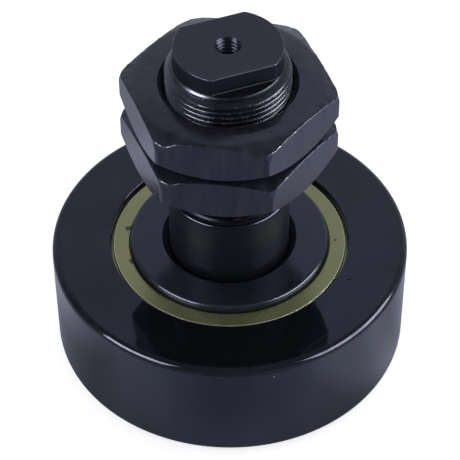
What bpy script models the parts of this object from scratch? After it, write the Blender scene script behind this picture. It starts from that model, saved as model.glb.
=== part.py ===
"""Stud-type cam follower: a 90 mm steel roller on caged needle rollers, carried by a
one-piece stud with an M30 x 1.5 end and two thin lock nuts.

Frame: metres, +Z up along the stud. The origin is the centre of the head's underside,
so the roller lies in z = 1..31 mm and the stud ends at z = 94.5 mm.
Threads are plain cylinders here: the stud at its major diameter, the bores just over it.
"""

import math

import bmesh
import bpy
from mathutils import Matrix, Vector

MM = 0.001

# ---- driving dimensions, millimetres and degrees ----
STEPS = 48  # facets round a large turned piece

# Roller
ROLLER_D = 90.0
ROLLER_W = 30.0
ROLLER_EDGE = 1.5  # rim edge, eased in two slopes
ROLLER_EDGE_MID = 0.3  # share of the edge size at which the slopes meet
BORE_CHAMFER = 0.3

# Head and side plate
PROUD = 1.0  # they stand proud of the roller's faces
FLANGE_R = 25.0
FLANGE_T = 4.0
FLANGE_EDGE = 0.8
PLATE_EDGE_MID = 0.25  # the plate's edge has a second slope
PLATE_GAP = 0.2  # round the shank and under the plate
PLATE_SINK_R = 17.0  # countersink in the side plate, round the shank

# Shields, in the outer step of each end of the roller's bore
SHIELD_BORE_R = 30.15
SHIELD_BORE_DEPTH = 2.7
SHIELD_IN_R = 25.45
SHIELD_TOP_R = 29.25
SHIELD_OUT_R = 30.0
SHIELD_SLOPE_H = 0.9
SHIELD_RECESS = 1.0
SHIELD_T = 1.4

# Thrust rings, in the inner step
RING_BORE_R = 29.0
RING_BORE_DEPTH = 5.2
RING_IN_R = 22.3
RING_OUT_R = 28.8
RING_T = 1.6
RING_GAP = 0.3  # between thrust ring and flange

# Raceways, needle rollers and cage
RACE_OUT_R = 27.5
RACE_IN_R = 21.5
NEEDLES = 20
NEEDLE_R = 2.91  # 3 mm, less the running clearance of faceted raceways
NEEDLE_L = 16.0
NEEDLE_CHAMFER = 0.35
NEEDLE_STEPS = 14
CAGE_IN_R = 23.0
CAGE_OUT_R = 26.0
CAGE_L = 19.4
CAGE_STEPS = NEEDLES * 3
POCKET_SIZE = (8.0, 6.2, 16.4)  # radial, tangential, along Z

# Stud
HEAD_CENTRE = [(2.0, 0.0), (1.0, 1.0), (0.0, 1.6)]  # (radius, z) of its centre hole
SHANK_R = 15.1
SHANK_TOP = 49.4
GROOVE_DEPTH = 0.8  # between shank and thread
GROOVE_LOW_SLOPE = 0.6
GROOVE_TOP_SLOPE = 0.2
THREAD_R = 15.0
THREAD_FROM = 50.4
THREAD_TO = 87.9
THREAD_CHAMFER_TOP = 90.0
END_R = 13.0
END_CHAMFER = 0.25
STUD_TOP = 94.5
FLATS = 20.5  # across the two spanner flats
FLATS_TURN = -69.8  # direction that one flat faces, from +X
FLATS_FROM = 89.9
FLAT_TOOL = (10.0, 40.0, 10.0)  # radial, tangential, along Z

# Grease hole down the stud's axis, and the cross hole that meets it
TAP_R = 2.75  # mean of the M6 thread
TAP_DEPTH = 14.0
TAP_CHAMFER = 0.4
TAP_STEP_H = 0.8  # cone from the oil hole out to the tapped hole
OIL_R = 2.0
OIL_POINT_H = 1.2  # cone at the bottom of the oil hole
CROSS_R = 1.5
CROSS_RISE = 2.0  # above the roller's middle plane
CROSS_TURN = 81.0
CROSS_TOOL_L = 60.0
CROSS_SIDES = 10

# Nuts
NUT_AF = 46.0
NUT_H = 11.6
NUT_BORE_R = 15.15
NUT_SINK_R = 16.75
NUT_CORNER_R = 26.3
NUT_TOP_FACE_R = 22.5
NUT_TOP_ANGLE = 31.0
NUT_BOTTOM_FACE_R = 22.1
NUT_BOTTOM_ANGLE = 38.0
HEX_OVERRUN = 2.0  # the hexagon tool passes each face by this
LOWER_NUT_Z = 60.5
NUT_GAP = 0.2
LOWER_NUT_TURN = -7.0
UPPER_NUT_TURN = -9.5

# ---- values that follow from them ----
ROLLER_TOP = PROUD + ROLLER_W
MID_Z = PROUD + ROLLER_W / 2
PLATE_TOP = ROLLER_TOP + PROUD
PLATE_BOTTOM = PLATE_TOP - FLANGE_T
UPPER_NUT_Z = LOWER_NUT_Z + NUT_H + NUT_GAP
PITCH_R = (RACE_OUT_R + RACE_IN_R) / 2
NEEDLE_ANGLES = [360.0 / NEEDLES * (i + 0.5) for i in range(NEEDLES)]


# ---- helpers ----
def material(name, colour, metallic, roughness):
    made = bpy.data.materials.new(name)
    made.use_nodes = True
    shader = made.node_tree.nodes["Principled BSDF"]
    shader.inputs["Base Color"].default_value = (*colour, 1.0)
    shader.inputs["Metallic"].default_value = metallic
    shader.inputs["Roughness"].default_value = roughness
    made.diffuse_color = (*colour, 1.0)
    return made


def add(name, mesh, finish=None, parent=None):
    piece = bpy.data.objects.new(name, mesh)
    bpy.context.scene.collection.objects.link(piece)
    if finish:
        mesh.materials.append(finish)
    piece.parent = parent
    return piece


def profile_mesh(name, points, closed):
    """Points are (radius, height) in mm. The outer side runs from top to bottom."""
    edges = [(i, i + 1) for i in range(len(points) - 1)]
    if closed:
        edges.append((len(points) - 1, 0))
    mesh = bpy.data.meshes.new(name)
    mesh.from_pydata([(r * MM, 0.0, z * MM) for r, z in points], edges, [])
    return mesh


def turn(piece, steps):
    screw = piece.modifiers.new("Turn", "SCREW")
    screw.axis = "Z"
    screw.angle = math.tau
    screw.steps = screw.render_steps = steps
    screw.use_merge_vertices = True
    screw.merge_threshold = 0.00001
    screw.use_smooth_shade = False
    return piece


def turned(name, points, finish, steps=STEPS, closed=True, parent=None):
    return turn(add(name, profile_mesh(name, points, closed), finish, parent), steps)


def mirrored(points):
    """The same profile on the head's side of the roller's middle plane."""
    return [(r, 2 * MID_Z - z) for r, z in reversed(points)]


def turned_pair(name, points, finish, parent):
    turned(name + "_stud_side", points, finish, parent=parent)
    turned(name + "_head_side", mirrored(points), finish, parent=parent)


def cutter(name, mesh):
    piece = add(name, mesh)
    piece.hide_render = True
    piece.display_type = "WIRE"
    return piece


def cut(piece, tool, how="DIFFERENCE"):
    step = piece.modifiers.new("Cut " + tool.name, "BOOLEAN")
    step.operation = how
    step.solver = "EXACT"
    step.object = tool


def finish_mesh(name, made):
    mesh = bpy.data.meshes.new(name)
    made.to_mesh(mesh)
    made.free()
    return mesh


def ring_of_boxes(name, size, angles, radius, height):
    """One mesh of boxes of this size, centred at each angle on this radius and height."""
    made = bmesh.new()
    scale = Matrix.Diagonal((*[s * MM for s in size], 1.0))
    shift = Matrix.Translation(Vector((radius, 0.0, height)) * MM)
    for angle in angles:
        place = Matrix.Rotation(math.radians(angle), 4, "Z") @ shift
        bmesh.ops.create_cube(made, size=1.0, matrix=place @ scale)
    return finish_mesh(name, made)


def prism(name, sides, radius, length, place):
    made = bmesh.new()
    bmesh.ops.create_cone(
        made,
        cap_ends=True,
        segments=sides,
        radius1=radius * MM,
        radius2=radius * MM,
        depth=length * MM,
        matrix=place,
    )
    return finish_mesh(name, made)


# ---- pieces ----
def build_stud(finish):
    """Head, inner raceway, shank, thread and spanner end in one piece."""
    groove_r = SHANK_R - GROOVE_DEPTH
    raceway_top = PLATE_BOTTOM - PLATE_GAP
    tap_bottom = STUD_TOP - TAP_DEPTH
    points = [
        # grease hole, upwards
        (0.0, MID_Z - OIL_POINT_H),
        (OIL_R, MID_Z),
        (OIL_R, tap_bottom),
        (TAP_R, tap_bottom + TAP_STEP_H),
        (TAP_R, STUD_TOP - TAP_CHAMFER),
        (TAP_R + TAP_CHAMFER, STUD_TOP),
        # outside, downwards
        (END_R - END_CHAMFER, STUD_TOP),
        (END_R, STUD_TOP - END_CHAMFER),
        (END_R, THREAD_CHAMFER_TOP),
        (THREAD_R, THREAD_TO),
        (THREAD_R, THREAD_FROM),
        (groove_r, THREAD_FROM - GROOVE_TOP_SLOPE),
        (groove_r, SHANK_TOP + GROOVE_LOW_SLOPE),
        (SHANK_R, SHANK_TOP),
        (SHANK_R, raceway_top),
        (RACE_IN_R, raceway_top),
        (RACE_IN_R, FLANGE_T),
        (FLANGE_R, FLANGE_T),
        (FLANGE_R, FLANGE_EDGE),
        (FLANGE_R - FLANGE_EDGE, 0.0),
        *HEAD_CENTRE,
    ]
    stud = turned("stud", points, finish, closed=False)

    flats = ring_of_boxes(
        "flat_cutter",
        FLAT_TOOL,
        angles=(FLATS_TURN, FLATS_TURN + 180.0),
        radius=(FLATS + FLAT_TOOL[0]) / 2,
        height=FLATS_FROM + FLAT_TOOL[2] / 2,
    )
    cut(stud, cutter("flat_cutter", flats))

    across = (
        Matrix.Translation((0.0, 0.0, (MID_Z + CROSS_RISE) * MM))
        @ Matrix.Rotation(math.radians(CROSS_TURN), 4, "Z")
        @ Matrix.Rotation(math.radians(90.0), 4, "Y")
    )
    drill = prism("cross_drill", CROSS_SIDES, CROSS_R, CROSS_TOOL_L, across)
    cut(stud, cutter("cross_drill", drill))


def build_side_plate(finish):
    """Plate pressed on the shank."""
    bore_r = SHANK_R + PLATE_GAP
    points = [
        (bore_r, PLATE_TOP - (PLATE_SINK_R - bore_r)),
        (PLATE_SINK_R, PLATE_TOP),
        (FLANGE_R - FLANGE_EDGE, PLATE_TOP),
        (FLANGE_R - PLATE_EDGE_MID, PLATE_TOP - PLATE_EDGE_MID),
        (FLANGE_R, PLATE_TOP - FLANGE_EDGE),
        (FLANGE_R, PLATE_BOTTOM),
        (bore_r, PLATE_BOTTOM),
    ]
    turned("side_plate", points, finish)


def build_outer_ring(finish, hub):
    rim_r = ROLLER_D / 2
    edge_mid = ROLLER_EDGE * ROLLER_EDGE_MID
    upper_half = [  # from the raceway out to the rim
        (RACE_OUT_R, ROLLER_TOP - RING_BORE_DEPTH),
        (RING_BORE_R, ROLLER_TOP - RING_BORE_DEPTH),
        (RING_BORE_R, ROLLER_TOP - SHIELD_BORE_DEPTH),
        (SHIELD_BORE_R, ROLLER_TOP - SHIELD_BORE_DEPTH),
        (SHIELD_BORE_R, ROLLER_TOP - BORE_CHAMFER),
        (SHIELD_BORE_R + BORE_CHAMFER, ROLLER_TOP),
        (rim_r - ROLLER_EDGE, ROLLER_TOP),
        (rim_r - edge_mid, ROLLER_TOP - edge_mid),
        (rim_r, ROLLER_TOP - ROLLER_EDGE),
    ]
    turned("outer_ring", upper_half + mirrored(upper_half), finish, parent=hub)


def build_shields(finish, hub):
    top = ROLLER_TOP - SHIELD_RECESS
    points = [
        (SHIELD_IN_R, top),
        (SHIELD_TOP_R, top),
        (SHIELD_OUT_R, top - SHIELD_SLOPE_H),
        (SHIELD_OUT_R, top - SHIELD_T),
        (SHIELD_IN_R, top - SHIELD_T),
    ]
    turned_pair("shield", points, finish, hub)


def plain_ring(in_r, out_r, top, height):
    return [(in_r, top), (out_r, top), (out_r, top - height), (in_r, top - height)]


def build_thrust_rings(finish, hub):
    points = plain_ring(RING_IN_R, RING_OUT_R, PLATE_BOTTOM - RING_GAP, RING_T)
    turned_pair("thrust_ring", points, finish, hub)


def build_cage(finish):
    """Cage with one pocket for each needle roller."""
    points = plain_ring(CAGE_IN_R, CAGE_OUT_R, MID_Z + CAGE_L / 2, CAGE_L)
    cage = turned("cage", points, finish, steps=CAGE_STEPS)
    pockets = ring_of_boxes("pocket_cutter", POCKET_SIZE, NEEDLE_ANGLES, PITCH_R, MID_Z)
    cut(cage, cutter("pocket_cutter", pockets))
    return cage


def build_needles(finish, cage):
    """Needle rollers on one shared mesh, each with its origin on its own axis."""
    end = NEEDLE_L / 2
    upper_half = [
        (0.0, end),
        (NEEDLE_R - NEEDLE_CHAMFER, end),
        (NEEDLE_R, end - NEEDLE_CHAMFER),
    ]
    points = upper_half + [(r, -z) for r, z in reversed(upper_half)]
    mesh = profile_mesh("needle_roller", points, closed=False)
    mesh.materials.append(finish)
    for number, degrees in enumerate(NEEDLE_ANGLES, start=1):
        needle = turn(add(f"needle_roller_{number:02d}", mesh, parent=cage), NEEDLE_STEPS)
        angle = math.radians(degrees)
        needle.location = (
            PITCH_R * MM * math.cos(angle),
            PITCH_R * MM * math.sin(angle),
            MID_Z * MM,
        )
        needle.rotation_euler.z = angle


def corner_angle(mesh):
    """Direction in degrees of the hexagon corner furthest along +X, then +Y."""
    corner = max(mesh.vertices, key=lambda v: (round(v.co.x, 7), round(v.co.y, 7))).co
    return math.degrees(math.atan2(corner.y, corner.x))


def build_nut(name, height, angle, finish):
    """A turned blank with two conical chamfers, taken as common with a hexagon."""
    top_drop = (NUT_CORNER_R - NUT_TOP_FACE_R) * math.tan(math.radians(NUT_TOP_ANGLE))
    low_rise = (NUT_CORNER_R - NUT_BOTTOM_FACE_R) * math.tan(math.radians(NUT_BOTTOM_ANGLE))
    sink_depth = NUT_SINK_R - NUT_BORE_R
    points = [
        (NUT_BORE_R, NUT_H - sink_depth),
        (NUT_SINK_R, NUT_H),
        (NUT_TOP_FACE_R, NUT_H),
        (NUT_CORNER_R, NUT_H - top_drop),
        (NUT_CORNER_R, low_rise),
        (NUT_BOTTOM_FACE_R, 0.0),
        (NUT_SINK_R, 0.0),
        (NUT_BORE_R, sink_depth),
    ]
    nut = turned(name, points, finish)
    nut.location.z = height * MM

    middle = Matrix.Translation((0.0, 0.0, NUT_H / 2 * MM))
    corner_r = NUT_AF / math.sqrt(3.0)
    mesh = prism(name + "_hexagon", 6, corner_r, NUT_H + 2 * HEX_OVERRUN, middle)
    hexagon = cutter(name + "_hexagon", mesh)
    hexagon.location.z = height * MM
    hexagon.rotation_euler.z = math.radians(angle - corner_angle(mesh))
    cut(nut, hexagon, "INTERSECT")


# ---- build ----
for thing in list(bpy.data.objects):
    bpy.data.objects.remove(thing, do_unlink=True)

black_oxide = material(
    "black_oxide_steel", colour=(0.016, 0.017, 0.022), metallic=0.85, roughness=0.22
)
black_gloss = material(
    "black_gloss_roller", colour=(0.012, 0.013, 0.018), metallic=0.8, roughness=0.10
)
black_nut = material("black_nut", colour=(0.020, 0.021, 0.027), metallic=0.85, roughness=0.30)
yellow_zinc = material(
    "yellow_zinc_shield", colour=(0.36, 0.34, 0.16), metallic=0.9, roughness=0.32
)
polymer = material(
    "thrust_ring_polymer", colour=(0.030, 0.030, 0.032), metallic=0.0, roughness=0.5
)
race_steel = material(
    "ground_bearing_steel", colour=(0.60, 0.60, 0.62), metallic=1.0, roughness=0.15
)
cage_steel = material("cage_steel", colour=(0.42, 0.42, 0.43), metallic=1.0, roughness=0.35)

build_stud(black_oxide)
build_side_plate(black_oxide)

roller_hub = add("roller_hub", None)  # carries the rings that turn with the roller
build_outer_ring(black_gloss, roller_hub)
build_shields(yellow_zinc, roller_hub)
build_thrust_rings(polymer, roller_hub)

build_needles(race_steel, build_cage(cage_steel))

build_nut("lower_nut", LOWER_NUT_Z, LOWER_NUT_TURN, black_nut)
build_nut("upper_nut", UPPER_NUT_Z, UPPER_NUT_TURN, black_nut)

# Only the cutters have faces before their modifiers run: smooth, with sharp edges kept.
for mesh in bpy.data.meshes:
    if mesh.polygons:
        mesh.shade_smooth()
        mesh.set_sharp_from_angle(angle=math.radians(30.0))
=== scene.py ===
"""Looks for the cam follower: fine surfaces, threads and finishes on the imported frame."""

import math

import bmesh
import bpy
import numpy as np
from mathutils import Matrix, Vector


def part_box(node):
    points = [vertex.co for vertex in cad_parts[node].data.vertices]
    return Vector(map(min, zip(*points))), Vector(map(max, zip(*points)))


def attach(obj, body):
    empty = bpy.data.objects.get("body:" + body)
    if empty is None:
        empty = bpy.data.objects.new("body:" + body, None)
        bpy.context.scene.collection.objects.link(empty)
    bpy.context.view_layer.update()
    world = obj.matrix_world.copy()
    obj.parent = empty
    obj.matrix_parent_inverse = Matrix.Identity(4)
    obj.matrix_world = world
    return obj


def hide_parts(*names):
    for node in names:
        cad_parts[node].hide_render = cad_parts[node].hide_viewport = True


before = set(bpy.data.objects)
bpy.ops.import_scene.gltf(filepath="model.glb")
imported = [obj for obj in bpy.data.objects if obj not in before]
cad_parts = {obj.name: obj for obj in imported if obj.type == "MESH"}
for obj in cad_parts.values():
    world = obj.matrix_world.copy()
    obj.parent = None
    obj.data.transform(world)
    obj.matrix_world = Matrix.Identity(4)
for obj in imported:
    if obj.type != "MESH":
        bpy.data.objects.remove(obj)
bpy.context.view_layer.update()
MM = 0.001
TAU = math.tau


# ------------------------------------------------------------------ sizes from the frame, in mm
def levels(node):
    """(largest radius, lowest z, highest z) of a turned CAD node, in mm."""
    lo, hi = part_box(node)
    return max(abs(lo.x), abs(hi.x)) / MM, lo.z / MM, hi.z / MM


R_ROLLER, Z0, Z1 = levels("outer_ring")
R_PLATE, PLATE_LOW, PLATE_TOP = levels("side_plate")
_, HEAD_Z, STUD_TOP = levels("stud")
_, NUT1_LOW, NUT1_TOP = levels("lower_nut")
_, NUT2_LOW, NUT2_TOP = levels("upper_nut")
_, NEEDLE_LOW, NEEDLE_TOP = levels("needle_roller_01")
_, CAGE_LOW, CAGE_TOP = levels("cage")
MID = (Z0 + Z1) / 2

THREAD_LOW = PLATE_TOP + 18.35
CHAMFER_TOP = STUD_TOP - 4.5
R_SHANK, R_THREAD, R_DOG = 15.1, 15.0, 13.0
FLAT_HALF, FLAT_TURN = 10.25, math.radians(-69.8)
PITCH = 1.5
NUT_APOTHEM = 23.0


# ------------------------------------------------------------------ mesh helpers
def arc(cx, cz, radius, start, end, steps, tag=1.0):
    """Points of an arc in the profile's plane, with the edge tag that the materials read for wear and for painted
    highlight lines.
    """
    out = []
    for i in range(steps + 1):
        t = math.radians(start + (end - start) * i / steps)
        out.append((cx + radius * math.cos(t), cz + radius * math.sin(t), tag))
    return out


def rounded(points, closed=True, count=None):
    """Points (r, z, fillet radius[, tag]) to a profile (r, z, tag), with arcs at the corners and a support point just past each arc, so that flat stretches shade flat."""
    out, n = [], len(points)
    for i, (r, z, fillet, *given) in enumerate(points):
        tag = given[0] if given else 1.0
        if fillet <= 0 or (not closed and i in (0, n - 1)):
            out.append((r, z, 0.0))
            continue
        a = np.array(points[(i - 1) % n][:2]) - (r, z)
        b = np.array(points[(i + 1) % n][:2]) - (r, z)
        la, lb = np.linalg.norm(a), np.linalg.norm(b)
        if la < 1e-6 or lb < 1e-6:
            out.append((r, z, 0.0))
            continue
        a, b = a / la, b / lb
        half = math.acos(max(-1.0, min(1.0, float(a @ b)))) / 2
        back = min(fillet / math.tan(half), 0.45 * la, 0.45 * lb)
        radius = back * math.tan(half)
        mid = (a + b) / max(1e-9, np.linalg.norm(a + b))
        centre = np.array((r, z)) + mid * radius / math.sin(half)
        p, q = np.array((r, z)) + a * back, np.array((r, z)) + b * back
        u, v = p - centre, q - centre
        sweep = math.atan2(u[0] * v[1] - u[1] * v[0], float(u @ v))
        steps = count or max(3, min(10, int(abs(sweep) * 6)))
        eps = min(0.04, 0.25 * (la - back))
        out.append((*(p + a * eps), 0.0))
        for k in range(steps + 1):
            t = sweep * k / steps
            c, s = math.cos(t), math.sin(t)
            w = centre + (u[0] * c - u[1] * s, u[0] * s + u[1] * c)
            out.append((w[0], w[1], tag))
        eps = min(0.04, 0.25 * (lb - back))
        out.append((*(q + b * eps), 0.0))
    return out


def lathe(name, column, angles, closed=True, sharp=32.0):
    """A turned or threaded body. column(theta) gives (r, z, tag) points in mm, as many for each theta. The last column meets the first, and is merged with it."""
    columns = [column(t) for t in angles]
    count = len(columns[0])
    points = np.array(columns, float)
    theta = np.array(angles)[:, None]
    xyz = np.stack(
        [
            points[:, :, 0] * np.cos(theta),
            points[:, :, 0] * np.sin(theta),
            points[:, :, 1],
        ],
        axis=-1,
    ).reshape(-1, 3)
    tags = points[:, :, 2].reshape(-1)
    span = count if closed else count - 1
    i = np.arange(len(angles) - 1)[:, None] * count
    k = np.arange(span)[None, :]
    nk = (k + 1) % count
    faces = np.stack([i + k, i + nk, i + count + nk, i + count + k], -1).reshape(-1, 4)
    mesh = bpy.data.meshes.new(name)
    mesh.from_pydata((xyz * MM).tolist(), [], faces.tolist())
    edge = mesh.attributes.new("edge", "FLOAT", "POINT")
    edge.data.foreach_set("value", tags.astype(np.float32))
    bm = bmesh.new()
    bm.from_mesh(mesh)
    bmesh.ops.remove_doubles(bm, verts=bm.verts, dist=1.5e-6)
    bmesh.ops.dissolve_degenerate(bm, edges=bm.edges, dist=1e-6)
    loose = [v for v in bm.verts if not v.link_faces]
    bmesh.ops.delete(bm, geom=loose, context="VERTS")
    bmesh.ops.recalc_face_normals(bm, faces=bm.faces)
    if bm.calc_volume(signed=True) < 0:
        bmesh.ops.reverse_faces(bm, faces=bm.faces)
    bm.to_mesh(mesh)
    bm.free()
    mesh.shade_smooth()
    mesh.set_sharp_from_angle(angle=math.radians(sharp))
    piece = bpy.data.objects.new(name, mesh)
    bpy.context.scene.collection.objects.link(piece)
    return piece


def ring_angles(steps, extra=()):
    found = {round(TAU * i / steps, 9) for i in range(steps)}
    for e in extra:
        found.add(round(e % TAU, 9))
    out = [0.0]
    for a in sorted(found):
        if a - out[-1] > 2e-4:
            out.append(a)
    if TAU - out[-1] < 2e-4:
        out.pop()
    return out + [TAU]


def turned(name, points, steps=256, **more):
    profile = rounded(points)
    return lathe(name, lambda t: profile, ring_angles(steps), **more)


def helix_rows(theta, low, high, pitch, shape, keep, down=True):
    """The rows of one column through a right-hand thread. shape is (height in the pitch, radius, tag); keep(z, r) trims it at the ends."""
    rise = pitch * theta / TAU
    first = math.floor(low / pitch) - 2
    last = math.ceil(high / pitch) + 1
    rows = []
    for n in range(first, last + 1):
        for height, r, tag in shape:
            z = min(max(n * pitch + height + rise, low), high)
            rows.append((keep(z, r), z, tag))
    return rows[::-1] if down else rows


def finish_piece(piece, body, nodes, slot, *materials):
    for m in materials:
        piece.data.materials.append(m)
    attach(piece, body)
    if nodes:
        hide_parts(*nodes)
    return piece


# ------------------------------------------------------------------ node helpers
class Nodes:
    """Short calls for building a material's nodes."""

    def __init__(self, name):
        self.material = bpy.data.materials.new(name)
        self.material.use_nodes = True
        self.tree = self.material.node_tree
        self.shader = self.tree.nodes["Principled BSDF"]
        self.place = self.tree.nodes.new("ShaderNodeTexCoord").outputs["Object"]

    def put(self, socket, value):
        if isinstance(value, bpy.types.NodeSocket):
            self.tree.links.new(value, socket)
        elif value is not None:
            if hasattr(socket.default_value, "__len__") and not hasattr(value, "__len__"):
                value = [value] * len(socket.default_value)
            socket.default_value = value

    def math(self, op, a, b=None, c=None, clamp=False):
        node = self.tree.nodes.new("ShaderNodeMath")
        node.operation = op
        node.use_clamp = clamp
        for socket, value in zip(node.inputs, (a, b, c)):
            self.put(socket, value)
        return node.outputs[0]

    def noise(self, scale, detail=3.0, rough=0.55, where=None, distort=0.0):
        node = self.tree.nodes.new("ShaderNodeTexNoise")
        self.put(node.inputs["Vector"], self.place if where is None else where)
        node.inputs["Scale"].default_value = scale
        node.inputs["Detail"].default_value = detail
        node.inputs["Roughness"].default_value = rough
        node.inputs["Distortion"].default_value = distort
        return node.outputs["Fac"]

    def cells(self, scale, randomness=1.0, where=None):
        node = self.tree.nodes.new("ShaderNodeTexVoronoi")
        self.put(node.inputs["Vector"], self.place if where is None else where)
        node.inputs["Scale"].default_value = scale
        node.inputs["Randomness"].default_value = randomness
        return node.outputs["Distance"], node.outputs["Color"]

    def span(self, value, low, high, to_low=0.0, to_high=1.0, smooth=False):
        node = self.tree.nodes.new("ShaderNodeMapRange")
        node.interpolation_type = "SMOOTHSTEP" if smooth else "LINEAR"
        self.put(node.inputs["Value"], value)
        for name, v in (
            ("From Min", low),
            ("From Max", high),
            ("To Min", to_low),
            ("To Max", to_high),
        ):
            self.put(node.inputs[name], v)
        return node.outputs["Result"]

    def mix(self, amount, a, b):
        node = self.tree.nodes.new("ShaderNodeMix")
        node.data_type = "RGBA"
        self.put(node.inputs[0], amount)
        for socket, value in ((node.inputs[6], a), (node.inputs[7], b)):
            self.put(socket, (*value, 1.0) if isinstance(value, tuple) and len(value) == 3 else value)
        return node.outputs[2]

    def blend(self, amount, a, b):
        node = self.tree.nodes.new("ShaderNodeMix")
        node.data_type = "FLOAT"
        self.put(node.inputs[0], amount)
        self.put(node.inputs[2], a)
        self.put(node.inputs[3], b)
        return node.outputs[0]

    def attribute(self, name):
        node = self.tree.nodes.new("ShaderNodeAttribute")
        node.attribute_name = name
        return node.outputs["Fac"]

    def polar(self):
        """(radius from the stud's axis, height), both in metres."""
        split = self.tree.nodes.new("ShaderNodeSeparateXYZ")
        self.put(split.inputs[0], self.place)
        x, y, z = split.outputs
        r = self.math("SQRT", self.math("ADD", self.math("MULTIPLY", x, x), self.math("MULTIPLY", y, y)))
        return r, z

    def point(self, x=0.0, y=0.0, z=0.0):
        node = self.tree.nodes.new("ShaderNodeCombineXYZ")
        for socket, value in zip(node.inputs, (x, y, z)):
            self.put(socket, value)
        return node.outputs[0]

    def spots(self, places, ragged=0.0):
        """1 inside any of the small round marks given as (x, y, z, radius) in mm, 0 elsewhere."""
        total = None
        for x, y, z, radius in places:
            node = self.tree.nodes.new("ShaderNodeVectorMath")
            node.operation = "DISTANCE"
            self.put(node.inputs[0], self.place)
            node.inputs[1].default_value = (x * MM, y * MM, z * MM)
            away = self.math("ADD", node.outputs["Value"], ragged) if ragged else node.outputs["Value"]
            spot = self.span(away, 0.8 * radius * MM, 1.2 * radius * MM, 1.0, 0.0, smooth=True)
            total = spot if total is None else self.math("MAXIMUM", total, spot)
        return total

    def bump(self, height, distance, strength=1.0, after=None):
        node = self.tree.nodes.new("ShaderNodeBump")
        self.put(node.inputs["Height"], height)
        node.inputs["Distance"].default_value = distance
        node.inputs["Strength"].default_value = strength
        if after is not None:
            self.put(node.inputs["Normal"], after)
        return node.outputs[0]

    def set(self, **values):
        for name, value in values.items():
            socket = self.shader.inputs[name.replace("_", " ")]
            if isinstance(value, tuple) and len(value) == 3 and len(getattr(socket, "default_value", ())) == 4:
                value = (*value, 1.0)
            self.put(socket, value)
        return self.material


BLUE = (0.74, 0.84, 1.30)  # the cool cast that black-finished steel gives its reflections


def gloss_black():
    """The roller: black over ground steel, near a mirror, with faint orange peel and a few specks."""
    n = Nodes("gloss_black_roller")
    wide, fine = n.noise(38.0, 2.0), n.noise(420.0, 3.0)
    dots, tint = n.cells(95.0)
    speck = n.math(
        "MULTIPLY",
        n.span(dots, 0.035, 0.06, 1.0, 0.0, smooth=True),
        n.span(tint, 0.90, 0.905, 0.0, 1.0),
    )
    edge = n.attribute("edge")
    split = n.tree.nodes.new("ShaderNodeSeparateXYZ")
    n.put(split.inputs[0], n.place)
    x, y, z = split.outputs
    drawn = n.noise(1.0, 3.0, 0.5, where=n.point(n.math("MULTIPLY", x, 90.0), n.math("MULTIPLY", y, 90.0), n.math("MULTIPLY", z, 12.0)))
    shake = n.math("MULTIPLY", n.math("SUBTRACT", n.noise(1400.0, 2.0), 0.5), 0.0012)
    chip = n.spots([(29.5, -15.0, 31.0, 0.34), (29.9, -15.05, 31.0, 0.24)], shake)
    glint = n.spots([(10.5, -43.76, 28.0, 0.17), (10.6, -43.7, 27.3, 0.10)])
    colour = n.mix(n.span(wide, 0.35, 0.65), (0.0078, 0.0086, 0.0112), (0.0098, 0.0106, 0.0136))
    colour = n.mix(n.math("MULTIPLY", speck, 0.6), colour, (0.05, 0.05, 0.055))
    colour = n.mix(chip, colour, (0.008, 0.008, 0.010))
    colour = n.mix(glint, colour, (0.5, 0.5, 0.5))
    rough = n.math("ADD", n.span(wide, 0.3, 0.7, 0.035, 0.06), n.span(fine, 0.4, 0.7, 0.0, 0.02))
    rough = n.math("ADD", rough, n.math("MULTIPLY", edge, n.span(x, -0.01, 0.02, 0.03, 0.08)))
    rub = n.math("MULTIPLY", edge, n.math("ADD", n.span(x, -0.01, 0.02, 0.14, 0.20), n.span(fine, 0.42, 0.62, -0.05, 0.14)))
    peel = n.bump(n.noise(260.0, 1.5, 0.4), 0.000012, 0.8)
    waves = n.bump(n.noise(70.0, 1.0, 0.3), 0.00007, 0.8, peel)
    normal = n.bump(n.math("SUBTRACT", speck, chip), 0.00005, 0.6, waves)
    rough = n.math("ADD", rough, n.math("MULTIPLY", chip, 0.5))
    return n.set(
        Base_Color=colour,
        Roughness=rough,
        Specular_IOR_Level=n.math("MULTIPLY", n.span(drawn, 0.3, 0.7, 0.29, 0.36), n.math("SUBTRACT", 1.0, n.math("MAXIMUM", chip, rub))),
        Specular_Tint=n.mix(edge, BLUE, (0.80, 0.88, 1.22)),
        Normal=normal,
    )


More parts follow.
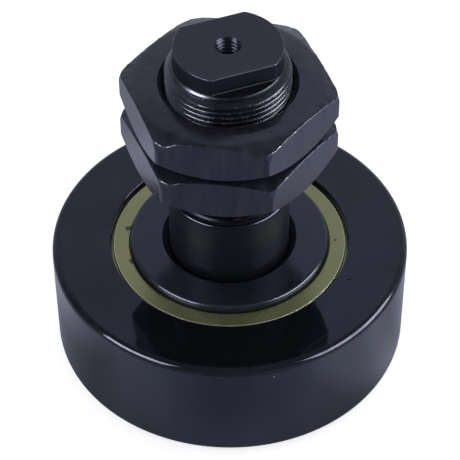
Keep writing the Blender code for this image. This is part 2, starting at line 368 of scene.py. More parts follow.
def satin_black(name, rough_low, rough_high, turning, base=(0.0065, 0.0068, 0.009), level=0.36):
    """Black oxide on turned steel: turning marks round the axis, and wear where the mesh is tagged as an edge; the
    higher tags along the dog's flats make painted highlight lines.
    """
    n = Nodes(name)
    r, z = n.polar()
    broad, fine = n.noise(55.0, 3.0), n.noise(900.0, 4.0, 0.6)
    along = n.noise(1.0, 2.0, 0.6, where=n.point(n.math("MULTIPLY", r, 5200.0), 0.0, n.math("MULTIPLY", z, 5200.0)))
    colour = n.mix(n.span(broad, 0.35, 0.65), base, tuple(1.7 * c for c in base))
    colour = n.mix(n.span(fine, 0.55, 0.8, 0.0, 0.35), colour, tuple(0.5 * c for c in base))
    edge = n.attribute("edge")
    nicks = n.span(n.noise(520.0, 4.0, 0.7), 0.50, 0.66, smooth=True)
    always = n.span(edge, 1.0, 2.0)
    worn = n.math("MULTIPLY", n.math("MINIMUM", edge, 1.0), n.math("MAXIMUM", always, n.math("MULTIPLY", nicks, 0.5)))
    # partly wear, partly painted highlight: this grey is wear on tagged edges, and a painted highlight line where the
    # stud's flats carry tags above 1
    colour = n.mix(n.math("MULTIPLY", worn, 0.9), colour, (0.20, 0.20, 0.205))
    in_hole = n.span(r, 0.0030, 0.0034, 1.0, 0.0)
    split = n.tree.nodes.new("ShaderNodeSeparateXYZ")
    n.put(split.inputs[0], n.place)
    x = split.outputs[0]
    on_shank = n.math("MULTIPLY", n.span(r, 0.0146, 0.0149), n.span(z, 0.0493, 0.0490))
    on_shank = n.math("MULTIPLY", on_shank, n.span(r, 0.0156, 0.0153))
    on_neck = n.math("MULTIPLY", n.span(r, 0.01485, 0.0148), n.math("MULTIPLY", n.span(z, 0.0510, 0.0507), n.span(z, 0.0495, 0.0496)))
    on_thread = n.math("MULTIPLY", n.span(r, 0.0131, 0.0133), n.span(z, 0.0508, 0.0511))
    on_end = n.math("MULTIPLY", n.span(r, 0.0095, 0.0098), n.math("MULTIPLY", n.span(z, 0.08985, 0.08992), n.span(z, 0.0943, 0.0941)))
    on_cone = n.math("MULTIPLY", n.span(z, 0.0886, 0.0889), n.math("MULTIPLY", n.span(z, 0.0901, 0.0900), n.span(r, 0.0131, 0.0133)))
    glossy = n.math("MULTIPLY", n.span(x, -0.0104, -0.0088, smooth=True), n.span(x, -0.0044, -0.0060, smooth=True))
    on_cone = n.math("MULTIPLY", on_cone, n.math("SUBTRACT", 1.0, glossy))
    rough = n.math("ADD", n.span(broad, 0.3, 0.7, rough_low, rough_high), n.span(fine, 0.35, 0.75, -0.03, 0.05))
    rough = n.math("ADD", rough, n.math("MULTIPLY", in_hole, 0.10))
    blunt = n.math("MAXIMUM", on_end, n.math("MAXIMUM", on_shank, n.math("MAXIMUM", on_neck, on_cone)))
    rough = n.math("ADD", rough, n.math("MULTIPLY", blunt, 0.17))
    rough = n.math("ADD", rough, n.math("MULTIPLY", on_neck, 0.10))
    rough = n.math("SUBTRACT", rough, n.math("MULTIPLY", on_thread, 0.04))
    dull = n.math("MAXIMUM", n.math("MULTIPLY", in_hole, 0.35), n.math("MULTIPLY", n.math("MAXIMUM", on_neck, on_cone), 0.55))
    dull = n.math("MAXIMUM", dull, n.math("MULTIPLY", on_end, 0.70))
    dull = n.math("MAXIMUM", dull, n.math("MULTIPLY", on_shank, 0.2))
    low_thread = n.math("MULTIPLY", n.span(z, 0.0540, 0.0530), n.math("MULTIPLY", n.span(z, 0.0498, 0.0500), n.span(r, 0.0156, 0.0153)))
    dull = n.math("MAXIMUM", dull, n.math("MULTIPLY", n.math("MAXIMUM", on_neck, low_thread), 0.78))
    rough = n.math("ADD", rough, n.math("MULTIPLY", low_thread, 0.08))
    plate_rim = n.math("MULTIPLY", n.span(r, 0.0240, 0.0242), n.span(z, 0.0310, 0.0312))
    rough = n.math("ADD", rough, n.math("MULTIPLY", plate_rim, 0.06))
    lively = n.math("ADD", n.span(x, -0.0025, -0.0065, -0.20, 1.3), n.span(x, 0.0055, 0.0095, 0.0, 0.65))
    lively = n.math("ADD", 1.0, n.math("MULTIPLY", on_thread, lively))
    # painted shade: the inside of the grease hole is darkened in colour
    colour = n.mix(in_hole, colour, (0.003, 0.003, 0.0035))
    colour = n.mix(on_shank, colour, (0.012, 0.0128, 0.0155))
    burr = n.noise(700.0, 5.0, 0.8, distort=1.5)
    normal = n.bump(along, 0.000006, turning)
    normal = n.bump(fine, 0.000006, 0.6, normal)
    normal = n.bump(n.math("MULTIPLY", burr, on_thread), 0.00004, 1.0, normal)
    return n.set(
        Base_Color=colour,
        Roughness=rough,
        Specular_IOR_Level=n.math("MULTIPLY", n.math("MULTIPLY", n.math("SUBTRACT", 1.0, dull), lively), level),
        Specular_Tint=n.mix(on_thread, BLUE, (0.83, 0.89, 1.17)),
        Normal=normal,
    )


def nut_black():
    """The nuts: satin black over forged and milled flats, with small pits and bright rubbed edges."""
    n = Nodes("satin_black_nut")
    broad, grain = n.noise(48.0, 3.0), n.noise(1500.0, 4.0, 0.65)
    dots, tint = n.cells(900.0)
    pit = n.math(
        "MULTIPLY",
        n.span(dots, 0.10, 0.30, 1.0, 0.0, smooth=True),
        n.span(tint, 0.78, 0.80, 0.0, 1.0),
    )
    edge = n.attribute("edge")
    rub = n.attribute("rub")
    ragged = n.noise(620.0, 6.0, 0.8)
    worn = n.math(
        "MULTIPLY",
        n.span(n.math("ADD", n.math("MULTIPLY", rub, 0.50), n.math("MULTIPLY", ragged, 0.80)), 0.80, 0.96, smooth=True),
        n.math("MINIMUM", n.math("MULTIPLY", edge, 1.5), 1.0),
    )
    split = n.tree.nodes.new("ShaderNodeSeparateXYZ")
    n.put(split.inputs[0], n.place)
    x, y, z = split.outputs
    streaks = n.noise(
        1.0, 4.0, 0.6, where=n.point(n.math("MULTIPLY", x, 330.0), n.math("MULTIPLY", y, 330.0), n.math("MULTIPLY", z, 70.0))
    )
    colour = n.mix(n.span(broad, 0.35, 0.65), (0.016, 0.0165, 0.0215), (0.023, 0.0235, 0.030))
    colour = n.mix(n.span(streaks, 0.40, 0.68), colour, (0.036, 0.036, 0.043))
    colour = n.mix(n.math("MULTIPLY", pit, 0.7), colour, (0.003, 0.003, 0.004))
    colour = n.mix(worn, colour, (0.27, 0.27, 0.28))
    rough = n.math("ADD", n.span(broad, 0.3, 0.7, 0.12, 0.18), n.span(streaks, 0.35, 0.7, -0.02, 0.06))
    rough = n.blend(worn, rough, 0.34)
    matt = n.math("MULTIPLY", n.span(y, -0.003, -0.012), n.span(x, 0.004, -0.006))
    matt = n.math("MULTIPLY", matt, n.span(z, (NUT2_TOP - 1.3) * MM, (NUT2_TOP - 0.7) * MM))
    normal = n.bump(grain, 0.000010, 0.7)
    normal = n.bump(streaks, 0.00003, 0.6, normal)
    normal = n.bump(n.noise(160.0, 2.0, 0.5), 0.00005, 0.6, normal)
    normal = n.bump(n.math("MULTIPLY", pit, -1.0), 0.00004, 0.8, normal)
    return n.set(
        Base_Color=colour,
        Metallic=n.math("MULTIPLY", worn, 0.9),
        Roughness=rough,
        Specular_IOR_Level=n.blend(matt, 0.37, 0.26),
        Specular_Tint=BLUE,
        Normal=normal,
    )


def yellow_zinc():
    """Olive-yellow passivated zinc on a pressed ring, with a few paint flecks at its inner edge."""
    n = Nodes("olive_yellow_zinc")
    r, _ = n.polar()
    broad, fine = n.noise(85.0, 3.0, 0.6), n.noise(1300.0, 4.0, 0.6)
    inner = n.span(r, 0.02545, 0.0264, 1.0, 0.0)
    fleck = n.math(
        "MULTIPLY",
        n.span(n.noise(125.0, 2.0, 0.5), 0.67, 0.70, smooth=True),
        n.span(inner, 0.2, 0.5, smooth=True),
    )
    shake = n.math("MULTIPLY", n.math("SUBTRACT", n.noise(900.0, 2.0), 0.5), 0.0016)
    chips = n.spots([(-25.6, 4.3, 30.0, 0.85), (-24.6, -7.4, 30.0, 0.7), (26.7, -0.35, 30.0, 0.2), (27.2, -0.45, 30.0, 0.22), (27.7, -0.6, 30.0, 0.18)], shake)
    fleck = n.math("MAXIMUM", n.math("MULTIPLY", fleck, 0.5), chips)
    split = n.tree.nodes.new("ShaderNodeSeparateXYZ")
    n.put(split.inputs[0], n.place)
    colour = n.mix(n.span(broad, 0.3, 0.7), (0.247, 0.265, 0.119), (0.281, 0.288, 0.142))
    # painted shade: the ring's colour darkens toward +X, its right side
    colour = n.mix(n.span(split.outputs[0], -0.020, 0.026, 0.0, 0.17), colour, (0.10, 0.105, 0.05))
    colour = n.mix(n.span(fine, 0.45, 0.8, 0.0, 0.12), colour, (0.18, 0.19, 0.10))
    # partly wear and partly painted highlight: the outer top edge is painted a light, bare-metal colour all round
    bare_edge_and_highlight = n.math("MULTIPLY", n.attribute("edge"), n.span(r, 0.0280, 0.0285))
    colour = n.mix(n.math("MULTIPLY", bare_edge_and_highlight, 0.8), colour, (0.72, 0.72, 0.58))
    colour = n.mix(fleck, colour, (0.02, 0.02, 0.02))
    rough = n.math("ADD", n.span(broad, 0.3, 0.7, 0.25, 0.30), n.span(fine, 0.3, 0.7, -0.01, 0.02))
    return n.set(
        Base_Color=colour,
        Metallic=n.blend(fleck, 0.47, 0.0),
        Roughness=rough,
        Normal=n.bump(fine, 0.0000015, 0.5, n.bump(broad, 0.000008, 0.4)),
    )


def seal_rubber():
    n = Nodes("seal_rubber")
    fine = n.noise(1800.0, 4.0, 0.6)
    colour = n.mix(n.noise(70.0), (0.006, 0.006, 0.007), (0.012, 0.012, 0.013))
    return n.set(
        Base_Color=colour,
        Roughness=n.span(fine, 0.3, 0.7, 0.28, 0.45),
        Normal=n.bump(fine, 0.00001, 0.5),
    )


def bearing_steel():
    """Ground needle rollers: bright, with grinding lines round the roller."""
    n = Nodes("ground_needle_steel")
    split = n.tree.nodes.new("ShaderNodeSeparateXYZ")
    n.put(split.inputs[0], n.place)
    lines = n.noise(1.0, 3.0, 0.7, where=n.point(0.0, 0.0, n.math("MULTIPLY", split.outputs[2], 9000.0)))
    broad = n.noise(240.0)
    colour = n.mix(broad, (0.50, 0.50, 0.52), (0.62, 0.62, 0.63))
    return n.set(
        Base_Color=colour,
        Metallic=1.0,
        Roughness=n.span(lines, 0.3, 0.7, 0.10, 0.22),
        Normal=n.bump(lines, 0.000003, 0.5),
    )


def cage_steel():
    n = Nodes("pressed_cage_steel")
    fine, broad = n.noise(1500.0, 4.0, 0.6), n.noise(110.0)
    colour = n.mix(n.span(broad, 0.3, 0.7), (0.30, 0.30, 0.31), (0.42, 0.42, 0.43))
    return n.set(
        Base_Color=colour,
        Metallic=1.0,
        Roughness=n.span(fine, 0.3, 0.7, 0.30, 0.48),
        Normal=n.bump(fine, 0.000008, 0.6),
    )


M_ROLLER = gloss_black()
M_STUD = satin_black("black_oxide_stud", 0.14, 0.20, 0.35)
M_PLATE = satin_black("black_oxide_plate", 0.12, 0.17, 0.25, base=(0.0165, 0.0178, 0.0240), level=0.37)
M_NUT = nut_black()
M_ZINC = yellow_zinc()
M_SEAL = seal_rubber()
M_NEEDLE = bearing_steel()
M_CAGE = cage_steel()


# ------------------------------------------------------------------ stud
def dog_radius(theta):
    """The spanner end: a round of R_DOG with two flats, its four upright edges slightly broken."""
    c = abs(math.cos(theta - FLAT_TURN))
    flat = FLAT_HALF / max(c, 1e-3)
    if flat > 3 * R_DOG:
        return R_DOG
    k = 110
    return ((R_DOG) ** -k + flat**-k) ** (-1 / k)


# one pitch of an M30 x 1.5 thread, as depths below the crest, and of an M6 thread, from the bottom up
EXTERNAL = [
    (-0.05, 0.0, 1.0),
    (0.03, 0.0, 1.0),
    (0.10, 0.07, 1.0),
    (0.175, 0.155, 1.0),
    (0.195, 0.20, 0.2),
    (0.60, 0.87, 0.0),
    (0.66, 0.93, 0.0),
    (0.84, 0.93, 0.0),
]
TAPPED = [
    (-0.11, 2.60, 0.0),
    (-0.06, 2.53, 0.0),
    (0.06, 2.53, 0.0),
    (0.11, 2.60, 0.0),
    (0.42, 3.05, 0.0),
    (0.5, 3.08, 0.0),
    (0.58, 3.05, 0.0),
]
TAP_LOW = STUD_TOP - 9.5


def stud_thread(z, depth, theta):
    """Crests follow the end's cone, where the grooves run out; the neck ends the thread below. The thread starts higher on the right than on the left."""
    below = CHAMFER_TOP - z
    start = 0.55 - 0.5 * math.cos(theta - math.radians(-40.0))
    crest = min(R_THREAD, R_DOG + 0.1 + below * 0.95)
    full = min(1.0, max(0.0, (below - start) / 1.0)) ** 0.8
    return min(crest - depth * full, 14.0 + (z - THREAD_LOW) * 1.3)


def stud_column(theta):
    rs = dog_radius(theta)
    out = [(0.0, MID - 1.2, 0.0), (2.0, MID, 0.0), (2.0, STUD_TOP - 14.6, 0.0), (2.45, STUD_TOP - 13.8, 0.0), (2.45, TAP_LOW - 0.1, 0.0)]
    out += helix_rows(
        theta,
        TAP_LOW,
        STUD_TOP,
        1.0,
        TAPPED,
        lambda z, r: max(min(r, 2.5 + (z - TAP_LOW) * 1.2), 3.08 - (STUD_TOP - z) * 1.0),
        down=False,
    )
    ledge = min(rs + 0.22, R_DOG)
    out += [(3.14, STUD_TOP, 0.0), (4.0, STUD_TOP, 0.0), (rs - 0.33, STUD_TOP, 0.0)]
    # painted highlight: on the flats, the end face's edge and the foot of the flat get raised edge tags, which the
    # material paints as light lines
    on_flat = 1.0 if rs < R_DOG - 0.12 else 0.0
    out += arc(rs - 0.22, STUD_TOP - 0.22, 0.22, 90, 0, 5, tag=1.15 + 0.45 * on_flat)
    out += [
        (rs, STUD_TOP - 0.27, 0.0),
        (rs, CHAMFER_TOP + 0.20, 0.0),
        (rs + 0.005 * on_flat, CHAMFER_TOP + 0.18, 1.8 * on_flat),
        (rs + (ledge - rs) * 0.3, CHAMFER_TOP + 0.04, 1.8 * on_flat),
        (rs + (ledge - rs) * 0.6, CHAMFER_TOP + 0.01, 1.8 * on_flat),
        (rs + (ledge - rs) * 0.65, CHAMFER_TOP + 0.008, 0.0),
        (ledge, CHAMFER_TOP, 0.0),
        (R_DOG, CHAMFER_TOP - 0.004, 0.0),
    ]
    out += helix_rows(theta, THREAD_LOW, CHAMFER_TOP - 0.01, PITCH, EXTERNAL, lambda z, r: stud_thread(z, r, theta))
    neck = PLATE_TOP + 17.5
    for k in (2, 1, 0):  # fine turning ridges between the thread and the shank
        rise = neck + 0.36 + 0.26 * k
        out += [(14.48 - 0.06 * k, rise + 0.08, 0.0), (14.66 - 0.06 * k, rise, 0.0), (14.62 - 0.06 * k, rise - 0.04, 0.0)]
    out += [(14.55, neck + 0.26, 0.0), (14.80, neck + 0.25, 0.0), (14.87, neck + 0.22, 0.0)]
    out += [(R_SHANK - 0.04, neck + 0.05, 0.0), (R_SHANK, neck - 0.02, 0.0), (R_SHANK, neck - 0.08, 0.0)]
    out += [
        (R_SHANK, PLATE_TOP - 1.0, 0.0),
        (R_SHANK, PLATE_LOW - 0.2, 0.0),
        (21.5, PLATE_LOW - 0.2, 0.0),
        (21.5, 4.0, 0.0),
        (R_PLATE - 0.3, 4.0, 0.0),
        (R_PLATE, 3.7, 0.5),
        (R_PLATE, 0.85, 0.0),
    ]
    out += arc(R_PLATE - 0.8, 0.8, 0.8, 0, -90, 6)
    out += [(R_PLATE - 0.85, 0.0, 0.0), (2.1, 0.0, 0.0), (1.9, 0.12, 0.5), (1.0, 1.0, 0.0), (0.0, 1.6, 0.0)]
    return out


corner = math.acos(FLAT_HALF / R_DOG)
near_corners = [
    FLAT_TURN + side * corner + half + d
    for side in (-1, 1)
    for half in (0.0, math.pi)
    for d in (-0.03, -0.018, -0.009, 0.0, 0.009, 0.018, 0.03)
]
stud = lathe("stud_body", stud_column, ring_angles(264, near_corners), closed=False, sharp=38.0)
finish_piece(stud, "stud", ["stud"], "black_steel", M_STUD)

# grease drilling across the raceway, which the bore along the axis meets
drill_mesh = bpy.data.meshes.new("cross_drill")
bm = bmesh.new()
bmesh.ops.create_cone(
    bm,
    cap_ends=True,
    segments=32,
    radius1=1.5 * MM,
    radius2=1.5 * MM,
    depth=60.0 * MM,
    matrix=Matrix.Translation((0.0, 0.0, (MID + 2.0) * MM))
    @ Matrix.Rotation(math.radians(81.0), 4, "Z")
    @ Matrix.Rotation(math.radians(90.0), 4, "Y"),
)
bm.to_mesh(drill_mesh)
bm.free()
drill = bpy.data.objects.new("cross_drill", drill_mesh)
bpy.context.scene.collection.objects.link(drill)


def cut_with(piece, tool, solver="EXACT"):
    """Cuts the tool out of the piece for good, and removes the tool."""
    step = piece.modifiers.new("cut", "BOOLEAN")
    step.operation = "DIFFERENCE"
    step.solver = solver
    step.object = tool
    graph = bpy.context.evaluated_depsgraph_get()
    graph.update()
    made = bpy.data.meshes.new_from_object(piece.evaluated_get(graph))
    piece.modifiers.clear()
    old = piece.data
    piece.data = made
    made.name = old.name
    bpy.data.objects.remove(tool)


cut_with(stud, drill, "MANIFOLD")

# ------------------------------------------------------------------ side plate
plate = turned(
    "side_plate_disc",
    [
        (15.3, PLATE_TOP - 1.75, 0.1, 0.0),
        (17.0, PLATE_TOP, 0.08, 0.0),
        (R_PLATE, PLATE_TOP, 0.85, 0.0),
        (R_PLATE, PLATE_TOP - 2.0, 0.0),
        (R_PLATE, PLATE_LOW, 0.2),
        (15.3, PLATE_LOW, 0.1),
    ],
    steps=288,
)
finish_piece(plate, "stud", ["side_plate"], "black_steel", M_PLATE)

# ------------------------------------------------------------------ roller
half_bore = [
    (27.5, Z1 - 5.2, 0.15),
    (29.0, Z1 - 5.2, 0.1),
    (29.0, Z1 - 2.7, 0.1),
    (30.15, Z1 - 2.7, 0.1),
    (30.15, Z1, 0.28),
    (R_ROLLER, Z1, 1.75),
]
roller = turned(
    "roller_ring",
    half_bore + [(r, Z0 + Z1 - z, f) for r, z, f in reversed(half_bore)],
    steps=360,
)
finish_piece(roller, "roller", ["outer_ring"], "black_gloss_steel", M_ROLLER)


# ------------------------------------------------------------------ rings on both sides
def both_sides(name, node, points, slot, material):
    """The same ring at the stud's side and, mirrored, at the head's."""
    for side in ("stud_side", "head_side"):
        if side == "head_side":
            profile = [(r, Z0 + Z1 - z, f) for r, z, f in reversed(points)]
        else:
            profile = points
        piece = turned(f"{name}_{side}", profile, steps=288)
        finish_piece(piece, "roller", [f"{node}_{side}"], slot, material)


both_sides(
    "zinc_shield",
    "shield",
    [
        (25.45, Z1 - 1.0, 0.12),
        (29.42, Z1 - 1.0, 0.28),
        (29.5, Z1 - 1.95, 0.06),
        (30.05, Z1 - 2.02, 0.05),
        (30.05, Z1 - 2.4, 0.05),
        (25.45, Z1 - 2.4, 0.1),
    ],
    "yellow_zinc",
    M_ZINC,
)
ring_top = PLATE_LOW - 0.3
both_sides(
    "thrust_seal",
    "thrust_ring",
    [
        (22.3, ring_top, 0.15),
        (25.08, ring_top, 0.05),
        (25.10, Z1 - 1.15, 0.06),
        (25.36, Z1 - 1.15, 0.06),
        (25.40, ring_top, 0.1),
        (28.8, ring_top, 0.15),
        (28.8, ring_top - 1.6, 0.15),
        (22.3, ring_top - 1.6, 0.15),
    ],
    "thrust_ring",
    M_SEAL,
)

# ------------------------------------------------------------------ cage and needles
NEEDLES = 20
cage_profile = [
    (23.0, CAGE_TOP, 0.2),
    (26.0, CAGE_TOP, 0.2),
    (26.0, CAGE_LOW, 0.2),
    (23.0, CAGE_LOW, 0.2),
]
cage = turned("needle_cage", cage_profile, steps=200)
pockets = bmesh.new()
for i in range(NEEDLES):
    turn = math.radians(360.0 * i / NEEDLES + 9.0)
    bmesh.ops.create_cube(
        pockets,
        size=1.0,
        matrix=Matrix.Rotation(turn, 4, "Z")
        @ Matrix.Translation((24.5 * MM, 0.0, MID * MM))
        @ Matrix.Diagonal((8.0 * MM, 6.2 * MM, 16.4 * MM, 1.0)),
    )
bmesh.ops.bevel(
    pockets,
    geom=[e for e in pockets.edges if abs((e.verts[0].co - e.verts[1].co).length - 8.0 * MM) < 1e-6],
    offset=0.5 * MM,
    segments=4,
    profile=0.5,
    affect="EDGES",
)
pocket_mesh = bpy.data.meshes.new("pockets")
pockets.to_mesh(pocket_mesh)
pockets.free()
pocket_tool = bpy.data.objects.new("pockets", pocket_mesh)
bpy.context.scene.collection.objects.link(pocket_tool)
cut_with(cage, pocket_tool, "MANIFOLD")
cage.data.shade_smooth()
cage.data.set_sharp_from_angle(angle=math.radians(32.0))
finish_piece(cage, "cage", ["cage"], "cage_steel", M_CAGE)

needle_profile = rounded(
    [
        (0.0, NEEDLE_TOP - MID, 0.0),
        (2.91, NEEDLE_TOP - MID, 0.35),
        (2.91, NEEDLE_LOW - MID, 0.35),
        (0.0, NEEDLE_LOW - MID, 0.0),
    ],
    closed=False,
)
first = lathe("needle_shape", lambda t: needle_profile, ring_angles(48), closed=False)
first.data.materials.append(M_NEEDLE)
for i in range(NEEDLES):
    node = f"needle_roller_{i + 1:02d}"
    lo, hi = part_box(node)
    needle = bpy.data.objects.new(f"needle_{i + 1:02d}", first.data)
    bpy.context.scene.collection.objects.link(needle)
    needle.matrix_world = Matrix.Translation((lo + hi) / 2) @ Matrix.Rotation(math.radians(18.0 * i + 9.0), 4, "Z")
    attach(needle, node)
    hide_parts(node)
bpy.data.objects.remove(first)

# ------------------------------------------------------------------ nuts
NUT_THREAD = [  # clears the stud's crests, so that the nut can slide in place of screwing
    (-0.09, 15.10, 0.0),
    (0.0, 15.07, 0.0),
    (0.09, 15.10, 0.0),
    (0.62, 15.86, 0.0),
    (0.75, 15.92, 0.0),
    (0.88, 15.86, 0.0),
]


def hex_radius(theta, turn, round_r):
    """Distance to a hexagon's side, its corners rounded, in the direction theta. A corner lies at turn."""
    phi = (theta - turn + math.pi / 6) % (math.pi / 3) - math.pi / 6
    c = (NUT_APOTHEM - round_r) / math.cos(math.pi / 6)
    on_arc = c * math.cos(phi) + math.sqrt(max(0.0, round_r**2 - (c * math.sin(phi)) ** 2)) if abs(c * math.sin(phi)) < round_r else 0.0
    px, py = on_arc * math.cos(phi) - c, on_arc * math.sin(phi)
    if on_arc and abs(math.atan2(py, px)) <= math.pi / 6:
        return on_arc
    return NUT_APOTHEM / math.cos(math.pi / 6 - abs(phi))


def make_nut(name, node, body, low, top, turn_deg, rub, dents):
    """A thin hexagon nut: a light chamfer above and a deep one below meet the flats in curved edges, with handling dents (azimuth, half width, depth) along the upper one."""
    turn = math.radians(turn_deg)
    height = top - low
    sink = 16.75
    round_r = 1.1
    top_r, top_slope = 22.7, math.tan(math.radians(17.0))
    low_r, low_slope = 22.0, math.tan(math.radians(41.5))

    def hammered(theta):
        """How far the upper edge is knocked down, with its small waves."""
        deg = math.degrees(theta)
        down = 0.045 * (1.6 + math.sin(41 * theta + 1.0 + turn) + 0.7 * math.sin(67 * theta + 2.0) + 0.5 * math.sin(103 * theta))
        for centre, half, depth in dents:
            off = abs((deg - centre + 180.0) % 360.0 - 180.0) / half
            if off < 1.0:
                down += depth * (0.5 + 0.5 * math.cos(math.pi * off))
        return down

    def column(theta):
        rh, rt = hex_radius(theta, turn, round_r), hex_radius(theta, turn, 4.5)
        up = top - 0.28 - max(0.0, rt - top_r) * top_slope - hammered(theta)
        down = low + max(0.0, rh - low_r) * low_slope
        profile = rounded(
            [
                (sink, top, 0.25, 0.0),
                (19.0, top, 14.0, 0.0),
                (top_r - 0.2, top - 0.24, 6.0, 0.0),
                (rt, up, 0.24),
                (rh, up - 1.7, 2.0, 0.0),
                (rh, down, 0.30),
                (low_r, low, 2.2, 0.0),
                (sink, low, 0.25, 0.0),
            ],
            closed=False,
            count=5,
        )
        inner_low, inner_top = low + 0.02, top - 0.02
        rows = helix_rows(
            theta,
            inner_low,
            inner_top,
            PITCH,
            NUT_THREAD,
            lambda z, r: max(r, sink - 0.02 - (inner_top - z) * 1.0, sink - 0.02 - (z - inner_low) * 1.0),
            down=False,
        )
        return profile + rows

    corners = [turn + math.pi / 3 * k + d for k in range(6) for d in (-0.06, -0.045, -0.03, -0.015, 0.0, 0.015, 0.03, 0.045, 0.06)]
    nut = lathe(name, column, ring_angles(288, corners), sharp=36.0)
    # how much each part of the nut's edges is rubbed bright
    mesh = nut.data
    co = np.empty(len(mesh.vertices) * 3, np.float32)
    mesh.vertices.foreach_get("co", co)
    co = co.reshape(-1, 3) / MM
    azimuth = np.degrees(np.arctan2(co[:, 1], co[:, 0]))
    share = np.full(len(co), 0.30)
    upper = (co[:, 2] - low) / height > 0.5
    for centre, width, amount, on_top in rub:
        off = np.abs((azimuth - centre + 180.0) % 360.0 - 180.0)
        near = np.clip(1.5 - off / width, 0.0, 1.0) * amount
        share = np.where(upper == on_top, np.maximum(share, near), share)
    layer = mesh.attributes.new("rub", "FLOAT", "POINT")
    layer.data.foreach_set("value", share.astype(np.float32))
    finish_piece(nut, body, [node], "black_nut", M_NUT)
    return nut


make_nut(
    "jam_nut",
    "upper_nut",
    "upper_nut",
    NUT2_LOW,
    NUT2_TOP,
    -9.5,
    [(-126.0, 9.0, 0.9, True), (-112.0, 9.0, 0.7, True), (-66.0, 8.0, 0.9, True), (-45.0, 22.0, 0.85, True), (75.0, 25.0, 0.7, True)],
    [(-125.0, 6.0, 0.75), (-76.0, 9.0, 1.05), (-170.0, 5.0, 0.2), (31.0, 7.0, 0.3), (112.0, 9.0, 0.25)],
)
make_nut(
    "clamp_nut",
    "lower_nut",
    "lower_nut",
    NUT1_LOW,
    NUT1_TOP,
    -7.0,
    [(-126.0, 6.0, 0.95, True), (-112.0, 14.0, 0.75, True), (-55.0, 14.0, 0.85, True), (40.0, 20.0, 0.7, True), (160.0, 15.0, 0.7, False)],
    [(-122.0, 5.0, 0.35), (-69.0, 6.0, 0.45), (10.0, 8.0, 0.3), (95.0, 6.0, 0.3), (-160.0, 7.0, 0.2)],
)

# ------------------------------------------------------------------ stage, light, camera
floor_mesh = bpy.data.meshes.new("floor")
floor_mesh.from_pydata([(-8, -8, -2e-5), (8, -8, -2e-5), (8, 8, -2e-5), (-8, 8, -2e-5)], [], [(0, 1, 2, 3)])
floor = bpy.data.objects.new("floor", floor_mesh)
bpy.context.scene.collection.objects.link(floor)
floor_look = Nodes("pale_floor")
across = floor_look.tree.nodes.new("ShaderNodeSeparateXYZ")
floor_look.put(across.inputs[0], floor_look.place)
fx, fy = across.outputs[0], across.outputs[1]
# painted light: the floor's colour runs lighter toward +X than toward -X
tone = floor_look.span(fx, -0.12, 0.12, 0.72, 0.92)
seen_floor = floor_look.tree.nodes.new("ShaderNodeLightPath").outputs["Is Camera Ray"]
# What reflections see of the floor: brighter to both sides than in front, and a little cooler.
aside = floor_look.math("ABSOLUTE", fx)
middle = floor_look.span(fy, -0.048, -0.060, 0.36, 0.17)
flank = floor_look.span(fx, -0.03, 0.03, 0.44, 0.30)
front = floor_look.blend(floor_look.span(aside, 0.005, 0.035, 0.0, 1.0, smooth=True), middle, flank)
front = floor_look.math("MULTIPLY", front, floor_look.span(fy, -0.025, -0.052, 0.0, 1.0, smooth=True))
front = floor_look.math("MULTIPLY", front, floor_look.span(fy, -0.062, -0.085, 1.0, 0.2, smooth=True))
left = floor_look.math(
    "MULTIPLY",
    floor_look.span(fx, -0.048, -0.062, 0.0, 0.33, smooth=True),
    floor_look.span(fy, 0.046, 0.058, 1.0, 0.35, smooth=True),
)
near_right = floor_look.math(
    "MULTIPLY",
    floor_look.span(fx, 0.034, 0.046, 0.0, 0.30, smooth=True),
    floor_look.span(fy, -0.022, -0.005, 1.0, 0.0, smooth=True),
)
far_right = floor_look.span(fx, 0.045, 0.090, 0.0, 0.25, smooth=True)
glow = floor_look.math("ADD", floor_look.math("ADD", front, left), floor_look.math("ADD", near_right, far_right))
cool = (0.93, 0.96, 1.14)
floor_look.set(
    Base_Color=floor_look.mix(tone, (0.0, 0.0, 0.0), floor_look.mix(seen_floor, cool, (1.0, 1.0, 1.0))),
    Roughness=0.9,
    Specular_IOR_Level=0.0,
    Emission_Color=floor_look.mix(seen_floor, cool, (1.0, 1.0, 1.0)),
    Emission_Strength=floor_look.blend(seen_floor, glow, 0.78),
)
floor_mesh.materials.append(floor_look.material)

world = bpy.data.worlds.new("soft_studio")
bpy.context.scene.world = world
world.use_nodes = True
wt = world.node_tree
sky = wt.nodes["Background"]
# A tent, lighter behind the object than in front of it; the camera sees plain white.
facing = wt.nodes.new("ShaderNodeTexCoord").outputs["Generated"]
parts = wt.nodes.new("ShaderNodeSeparateXYZ")
wt.links.new(facing, parts.inputs[0])
ramp = wt.nodes.new("ShaderNodeMapRange")
wt.links.new(parts.outputs[1], ramp.inputs["Value"])
for key, value in (("From Min", 0.33), ("From Max", 0.65), ("To Min", 0.36), ("To Max", 0.76)):
    ramp.inputs[key].default_value = value
tilt = wt.nodes.new("ShaderNodeMapRange")
wt.links.new(parts.outputs[0], tilt.inputs["Value"])
for key, value in (("From Min", -0.12), ("From Max", 0.12), ("To Min", 0.97), ("To Max", 1.17)):
    tilt.inputs[key].default_value = value
level = wt.nodes.new("ShaderNodeMath")
level.operation = "MULTIPLY"
wt.links.new(ramp.outputs["Result"], level.inputs[0])
wt.links.new(tilt.outputs["Result"], level.inputs[1])
horizon = wt.nodes.new("ShaderNodeMapRange")
wt.links.new(parts.outputs[1], horizon.inputs["Value"])
for key, value in (("From Min", 0.84), ("From Max", 0.96), ("To Min", 1.0), ("To Max", 1.35)):
    horizon.inputs[key].default_value = value
lifted = wt.nodes.new("ShaderNodeMath")
lifted.operation = "MULTIPLY"
wt.links.new(level.outputs[0], lifted.inputs[0])
wt.links.new(horizon.outputs["Result"], lifted.inputs[1])
sky.inputs["Color"].default_value = (0.965, 0.985, 1.065, 1.0)
wt.links.new(lifted.outputs[0], sky.inputs["Strength"])
plain = wt.nodes.new("ShaderNodeBackground")
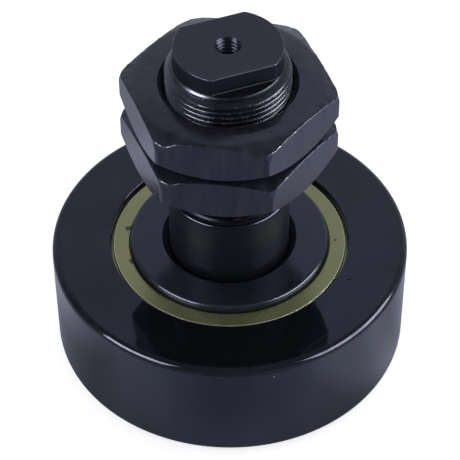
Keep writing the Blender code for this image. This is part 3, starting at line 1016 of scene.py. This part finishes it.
plain.inputs["Color"].default_value = (1.0, 1.0, 1.0, 1.0)
plain.inputs["Strength"].default_value = 1.0
seen = wt.nodes.new("ShaderNodeLightPath")
either = wt.nodes.new("ShaderNodeMixShader")
wt.links.new(seen.outputs["Is Camera Ray"], either.inputs[0])
wt.links.new(sky.outputs[0], either.inputs[1])
wt.links.new(plain.outputs[0], either.inputs[2])
wt.links.new(either.outputs[0], wt.nodes["World Output"].inputs["Surface"])


def softbox(name, azimuths, elevations, distance, radiance):
    """A softbox that only reflections see, between two azimuths and two elevations. Azimuth 0 is the camera's side, and +90 is +X."""
    a, e = (math.radians(sum(pair) / 2) for pair in (azimuths, elevations))
    width = 2 * distance * math.cos(e) * math.tan(math.radians(azimuths[1] - azimuths[0]) / 2)
    height = 2 * distance * math.tan(math.radians(elevations[1] - elevations[0]) / 2)
    lamp = bpy.data.lights.new(name, "AREA")
    lamp.shape = "RECTANGLE"
    lamp.size, lamp.size_y = width, height
    lamp.energy = radiance * math.pi * width * height
    lamp.color = (1.0, 0.965, 0.905)
    box = bpy.data.objects.new(name, lamp)
    bpy.context.scene.collection.objects.link(box)
    out = Vector((math.sin(a) * math.cos(e), -math.cos(a) * math.cos(e), math.sin(e)))
    box.location = out * distance + Vector((0.0, 0.0, 0.05))
    box.rotation_euler = out.to_track_quat("Z", "Y").to_euler()
    box.visible_diffuse = False
    box.visible_camera = False
    return box


softbox("softbox_left", (-76.0, -34.0), (15.0, 43.0), 1.5, 19.0)
softbox("softbox_right", (47.0, 106.0), (13.0, 43.0), 1.5, 17.0)

# camera: a long lens, 48 degrees above the floor, with the object off the lens's axis
FOCAL_PX, CENTRE_X, CENTRE_Y, FRAME_PX = 1987.9, 168.4, 230.0, 460.0
EYE = Vector((0.0, -0.351217, 0.392543 + Z0 * MM))
RIGHT = Vector((0.999514, 0.016877, -0.026216))
UP = Vector((0.006227, 0.715847, 0.698230))
FORWARD = Vector((-0.030551, 0.698053, -0.715394))
lens = bpy.data.cameras.new("camera")
lens.sensor_width = 36.0
lens.lens = FOCAL_PX / FRAME_PX * 36.0
lens.shift_x = (FRAME_PX / 2 - CENTRE_X) / FRAME_PX
lens.shift_y = (CENTRE_Y - FRAME_PX / 2) / FRAME_PX
lens.clip_start, lens.clip_end = 0.01, 50.0
camera = bpy.data.objects.new("camera", lens)
bpy.context.scene.collection.objects.link(camera)
turn = Matrix((RIGHT, UP, -FORWARD)).transposed().to_4x4()
camera.matrix_world = Matrix.Translation(EYE) @ turn
bpy.context.scene.camera = camera

bpy.context.scene.view_settings.view_transform = "Standard"
bpy.context.scene.view_settings.look = "None"

bpy.context.view_layer.update()
